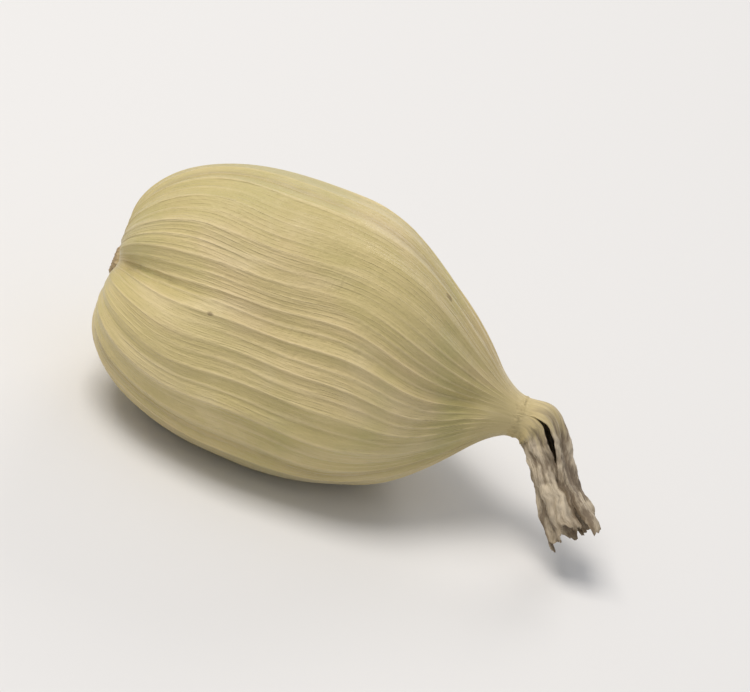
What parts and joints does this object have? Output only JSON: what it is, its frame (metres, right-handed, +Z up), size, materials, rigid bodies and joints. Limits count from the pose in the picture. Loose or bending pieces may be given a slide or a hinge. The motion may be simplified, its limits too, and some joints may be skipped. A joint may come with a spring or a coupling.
{
  "type": "green cardamom pod",
  "caption": "Dried green cardamom pod: a blunt three-lobed ribbed capsule with a puckered base, a narrow beak and a bent withered calyx, lying on one face.",
  "frame": {"origin": "on the surface that the pod lies on, under the middle of its box", "axes": "+X from the blunt base to the beak, +Z up from the pressed resting face through the top lobe, +Y to the side away from the calyx's bend"},
  "size_m": [0.015, 0.008, 0.0075],
  "materials": {
    "husk": "satin",
    "calyx": "satin",
    "scar": "matte"
  },
  "bodies": {
    "root": {"pod": "husk"}
  },
  "joints": []
}
